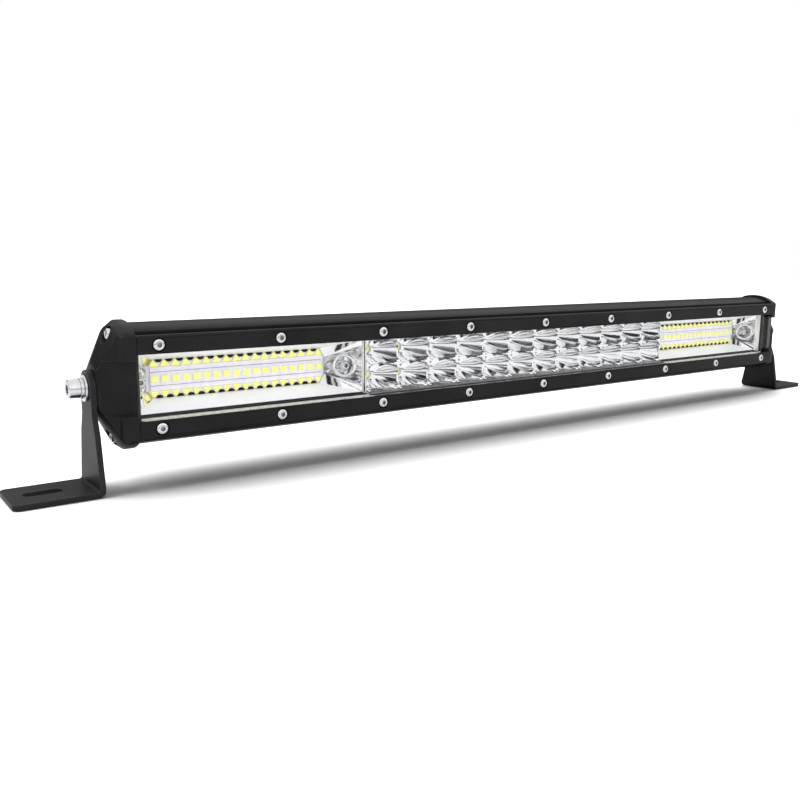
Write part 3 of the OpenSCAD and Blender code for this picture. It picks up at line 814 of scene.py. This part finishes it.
def box_solid(work, x, depth, z, half_x, half_z, thick, material=0, taper=0.0):
    """A block standing forward from a depth, narrower at the front by taper."""
    far = ring(work, [(x - half_x, depth, z - half_z), (x + half_x, depth, z - half_z),
                      (x + half_x, depth, z + half_z), (x - half_x, depth, z + half_z)])
    fx, fz = half_x - taper, half_z - taper
    near = ring(work, [(x - fx, depth - thick, z - fz), (x + fx, depth - thick, z - fz),
                       (x + fx, depth - thick, z + fz), (x - fx, depth - thick, z + fz)])
    skin(work, far, near, material)
    work.faces.new(far).material_index = material
    work.faces.new(near).material_index = material


def prism(work, outline, depth, thick, material=0, inset=0.0):
    """A block of any outline standing forward from a depth, its front shrunk towards its middle."""
    cx = sum(p[0] for p in outline) / len(outline)
    cz = sum(p[1] for p in outline) / len(outline)
    far = ring(work, [(x, depth, z) for x, z in outline])
    near = ring(work, [(cx + (x - cx) * (1 - inset), depth - thick, cz + (z - cz) * (1 - inset))
                       for x, z in outline])
    skin(work, far, near, material)
    work.faces.new(far).material_index = material
    work.faces.new(near).material_index = material


def make_diodes(side):
    """Square packages in the middle row, triangular ones above and below with black half rounds painted
    as shadow in the gaps between their tips, and two thin tracks along the strip."""
    diodes, gaps, tracks = bmesh.new(), bmesh.new(), bmesh.new()
    resin, package = 0, 1
    first = side * TROUGH_X - (DIODES_IN_ROW - 1) / 2 * DIODE_PITCH
    for i in range(DIODES_IN_ROW):
        x = first + i * DIODE_PITCH
        box_solid(diodes, x, STRIP_FRONT, 0, PACKAGE_HALF_X, PACKAGE_HALF_Z,
                  thick=0.3, material=package, taper=0.1)
        box_solid(diodes, x, STRIP_FRONT - 0.28, 0, RESIN_HALF, RESIN_HALF,
                  thick=0.4, material=resin, taper=0.15)
        for up in (-1, 1):
            prism(diodes, [(x - BASE_HALF, up * BASE_Z), (x + BASE_HALF, up * BASE_Z),
                           (x + TIP_HALF, up * TIP_Z), (x - TIP_HALF, up * TIP_Z)],
                  BOARD_FRONT, thick=0.65, material=resin, inset=0.08)
    for i in range(DIODES_IN_ROW - 1):
        x = first + (i + 0.5) * DIODE_PITCH
        for up in (-1, 1):
            arc = [(x + SHADOW_GAP_HALF_X * math.cos(a), up * (SHADOW_GAP_Z - SHADOW_GAP_RISE * math.sin(a)))
                   for a in [math.pi * k / 8 for k in range(9)]]
            prism(gaps, arc, BOARD_FRONT, thick=0.35)
    for z in (-TRACK_Z, TRACK_Z):
        box_solid(tracks, side * TROUGH_X, STRIP_FRONT, z, TRACK_HALF, TRACK_HALF_Z,
                  thick=0.08, taper=0.03)
    word = side_word(side)
    finish_piece(diodes, word + "_trough_diodes", ["phosphor", "package"], "light_bar",
                 [word + "_flood_leds"], bevel_mm=0.12)
    finish_piece(gaps, word + "_painted_shadow_gaps", ["painted_shadow_black"], "light_bar")
    finish_piece(tracks, word + "_strip_tracks", ["trace"], "light_bar")


# ---------------------------------------------------------------- screws
HEAD_R = 2.75
SHANK_R = 1.5
SOCKET_R = 1.1
SOCKET_DEPTH = 1.1
RAIL_SCREWS = 9
RAIL_SCREW_PITCH = 60
RAIL_SCREW_Z = 18.75
RAIL_SCREW_DEPTH = 1.15
RAIL_SCREW_LENGTH = 9
REFLECTOR_SCREW_DEPTH = SEAT_DEPTH - 0.05
REFLECTOR_SCREW_LENGTH = 8.2
CAP_SCREW_X = 255.65
CAP_SCREW_DEPTH = 15
CAP_SCREW_Z = 23
CAP_SCREW_LENGTH = 12.6
LOW_HEAD = 1.65      # head height of the rail and reflector screws
TALL_HEAD = 3.0      # and of the cap screws
AROUND_SCREW = 24


def add_screw(work, seat, axis, head_h, length):
    """Hex-socket screw: seat is under the head, axis points out of the head."""
    side = axis.orthogonal().normalized()
    other = axis.cross(side)

    def loop_of(outline, radius, height):
        """The outline drawn around the screw's axis."""
        return [work.verts.new(seat + axis * height * MM + (side * u + other * v) * radius * MM)
                for u, v in outline]

    def close(loop, height, material=0):
        """A fan over a loop, with its middle at a height."""
        middle = work.verts.new(seat + axis * height * MM)
        for i, vert in enumerate(loop):
            work.faces.new((vert, loop[(i + 1) % len(loop)], middle)).material_index = material

    turns = [2 * math.pi * i / AROUND_SCREW for i in range(AROUND_SCREW)]
    circle = [(math.cos(a), math.sin(a)) for a in turns]
    per_side = AROUND_SCREW // 6
    hexagon = []
    for i in range(AROUND_SCREW):
        corner, part = divmod(i, per_side)
        near, far = [Vector(circle[(corner + k) * per_side % AROUND_SCREW]) for k in (0, 1)]
        hexagon.append(near.lerp(far, part / per_side))
    profile = [(SHANK_R - 0.1, -length), (SHANK_R, 0.3 - length), (SHANK_R, 0), (HEAD_R - 0.15, 0),
               (HEAD_R, 0.12), (HEAD_R, head_h - 0.95), (HEAD_R - 0.12, head_h - 0.6),
               (HEAD_R - 0.42, head_h - 0.26), (HEAD_R - 0.85, head_h - 0.06),
               (HEAD_R - 1.15, head_h)]
    loops = [loop_of(circle, radius, height) for radius, height in profile]
    for below, above in zip(loops, loops[1:]):
        skin(work, below, above)
    lip = loop_of(hexagon, SOCKET_R + 0.15, head_h)
    socket_top = loop_of(hexagon, SOCKET_R + 0.05, head_h - 0.12)
    socket_floor = loop_of(hexagon, SOCKET_R, head_h - SOCKET_DEPTH)
    skin(work, loops[-1], lip)
    skin(work, lip, socket_top)
    # The socket's walls and floor take the second material, a dark steel painted as shade.
    skin(work, socket_top, socket_floor, 1)
    close(socket_floor, head_h - SOCKET_DEPTH - 0.15, 1)
    close(loops[0], -length)


def make_screws():
    """The rails', reflectors' and caps' screws, where their CAD nodes have them."""
    groups = {"top_rail_screws": [], "bottom_rail_screws": [], "reflector_screws": [],
              "left_cap_screws": [], "right_cap_screws": []}
    forward = Vector((0, -1, 0))
    for name, up in (("top_rail_screws", 1), ("bottom_rail_screws", -1)):
        for i in range(RAIL_SCREWS):
            x = (i - (RAIL_SCREWS - 1) / 2) * RAIL_SCREW_PITCH
            seat = place(x, RAIL_SCREW_DEPTH, up * RAIL_SCREW_Z)
            groups[name].append((seat, forward, LOW_HEAD, RAIL_SCREW_LENGTH))
    for side in (-1, 1):
        for x in SEAT_PLACES:
            seat = place(side * x, REFLECTOR_SCREW_DEPTH, 0)
            groups["reflector_screws"].append((seat, forward, LOW_HEAD, REFLECTOR_SCREW_LENGTH))
        for up in (-1, 1):
            seat = place(side * CAP_SCREW_X, CAP_SCREW_DEPTH, up * CAP_SCREW_Z)
            groups[side_word(side) + "_cap_screws"].append(
                (seat, Vector((side, 0, 0)), TALL_HEAD, CAP_SCREW_LENGTH))
    for node, screws in groups.items():
        work = bmesh.new()
        for seat, axis, head_h, length in screws:
            add_screw(work, seat, axis, head_h, length)
        finish_piece(work, node + "_turned", ["steel", "painted_socket_shade"], "light_bar", [node],
                     angle=38)


# ================================================================ camera, floor and light
CAMERA_LENS = 37.19                                  # mm
CAMERA_FROM_AXIS = Vector((-366.8, -370.2, 57.8))    # mm
CAMERA_LOOKS = Vector((0.5793, 0.7969, -0.1715))
CAMERA_LEVEL = Vector((0.8088, -0.5881, 0.0))        # its right before the roll
CAMERA_ROLL = 0.39                                   # degrees
FLOOR_HALF = 3.0
FLOOR_GAP = 0.0002
SUN_LEANS = (-0.8, 0.0, 0.8)                         # sideways for each metre down
SUN_TO_FRONT = -0.36                                 # and forward
SUN_POWER = 2.0
SUN_ANGLE = 44                                       # degrees
FILLS_AIM = (0, 0, 0.05)


def make_camera():
    """The picture's view, solved from the rails' screws: left of the bar and a little above it."""
    camera = bpy.data.cameras.new("camera")
    camera.sensor_width = 36
    camera.lens = CAMERA_LENS
    body = bpy.data.objects.new("camera", camera)
    bpy.context.scene.collection.objects.link(body)
    forward = CAMERA_LOOKS.normalized()
    level_right = CAMERA_LEVEL.normalized()
    level_up = level_right.cross(forward)
    roll = math.radians(CAMERA_ROLL)
    right = (math.cos(roll) * level_right + math.sin(roll) * level_up).normalized()
    up = right.cross(forward).normalized()
    spot = CAMERA_FROM_AXIS * MM + Vector((0, 0, AXIS_Z))
    body.matrix_world = Matrix((
        (right.x, up.x, -forward.x, spot.x),
        (right.y, up.y, -forward.y, spot.y),
        (right.z, up.z, -forward.z, spot.z),
        (0, 0, 0, 1)))
    bpy.context.scene.camera = body


def make_floor():
    """A wide floor just under the feet."""
    mesh = bpy.data.meshes.new("floor")
    work = bmesh.new()
    bmesh.ops.create_grid(work, x_segments=8, y_segments=8, size=FLOOR_HALF)
    work.to_mesh(mesh)
    work.free()
    floor = bpy.data.objects.new("floor", mesh)
    floor.data.materials.append(pale_floor("pale_floor"))
    floor.location = (0, 0, CAD_BOUNDS[0][2] - FLOOR_GAP)
    bpy.context.scene.collection.objects.link(floor)
    return floor


def area_light(name, spot, width, height, power):
    """A rectangular light aimed at the lamp, which metal doesn't reflect."""
    light = bpy.data.lights.new(name, "AREA")
    light.energy = power
    light.shape = "RECTANGLE"
    light.size = width
    light.size_y = height
    body = bpy.data.objects.new(name, light)
    body.location = spot
    body.rotation_euler = (Vector(FILLS_AIM) - Vector(spot)).to_track_quat("-Z", "Y").to_euler()
    body.visible_glossy = False
    bpy.context.scene.collection.objects.link(body)
    return body


def make_light(floor):
    """Three soft suns above and a little behind draw the shadow, two fills in front light the lamp
    but not the floor, and bright metal reflects a white dome that's dark near the horizon."""
    world = bpy.data.worlds.new("studio")
    bpy.context.scene.world = world
    world.use_nodes = True
    tree = world.node_tree
    background = tree.nodes["Background"]
    coords = add(tree, "ShaderNodeTexCoord")
    split = add(tree, "ShaderNodeSeparateXYZ")
    tree.links.new(coords.outputs["Generated"], split.inputs["Vector"])
    height = add(tree, "ShaderNodeMapRange")
    height.inputs["From Min"].default_value = -1.0
    height.inputs["From Max"].default_value = 1.0
    tree.links.new(split.outputs["Z"], height.inputs["Value"])

    def sky(*steps):
        """Tones of the dome by height, where 0.5 is the horizon and 1 straight up."""
        node = add(tree, "ShaderNodeValToRGB")
        stops = node.color_ramp.elements
        stops[0].color, stops[1].color = (0.9, 0.9, 0.9, 1), (0.95, 0.95, 0.95, 1)
        for spot, tone in steps:
            stops.new(spot).color = (tone, tone, tone, 1)
        tree.links.new(height.outputs["Result"], node.inputs["Fac"])
        return node.outputs["Color"]

    ahead = sky((0.49, 0.8), (0.503, 0.06), (0.53, 0.04), (0.545, 0.5), (0.6, 1.12), (0.75, 1.18))
    behind = sky((0.49, 0.6), (0.503, 0.03), (0.6, 0.03), (0.64, 0.15), (0.72, 0.75), (0.8, 1.1))
    towards_back = add(tree, "ShaderNodeMapRange")
    towards_back.inputs["From Min"].default_value = -0.1
    towards_back.inputs["From Max"].default_value = 0.35
    tree.links.new(split.outputs["Y"], towards_back.inputs["Value"])
    sky_colour = mix(tree, towards_back.outputs["Result"], ahead, behind)
    path = add(tree, "ShaderNodeLightPath")
    reflected = mix(tree, path.outputs["Is Glossy Ray"], (0.3, 0.3, 0.3), sky_colour)
    tree.links.new(mix(tree, path.outputs["Is Camera Ray"], reflected, (1, 1, 1)),
                   background.inputs["Color"])
    background.inputs["Strength"].default_value = 1.0
    for lean in SUN_LEANS:
        sun = bpy.data.lights.new("overhead", "SUN")
        sun.energy = SUN_POWER
        sun.angle = math.radians(SUN_ANGLE)
        body = bpy.data.objects.new("overhead", sun)
        body.rotation_euler = Vector((lean, SUN_TO_FRONT, -1)).to_track_quat("-Z", "Y").to_euler()
        body.visible_glossy = False
        bpy.context.scene.collection.objects.link(body)
    fills = [area_light("front_fill", (-0.35, -1.1, 0.95), width=1.1, height=0.7, power=11.5),
             area_light("low_fill", (0.4, -1.3, 0.25), width=1.2, height=0.4, power=4.0)]
    kept_off = bpy.data.collections.new("kept_off_by_fills")
    kept_off.objects.link(floor)
    kept_off.collection_objects[0].light_linking.link_state = "EXCLUDE"
    for fill in fills:
        fill.light_linking.receiver_collection = kept_off


dress_cad_nodes()
make_cups()
for side in (-1, 1):
    make_trough(side)
    make_diodes(side)
make_screws()
make_camera()
make_light(make_floor())
bpy.context.scene.view_settings.view_transform = "Standard"
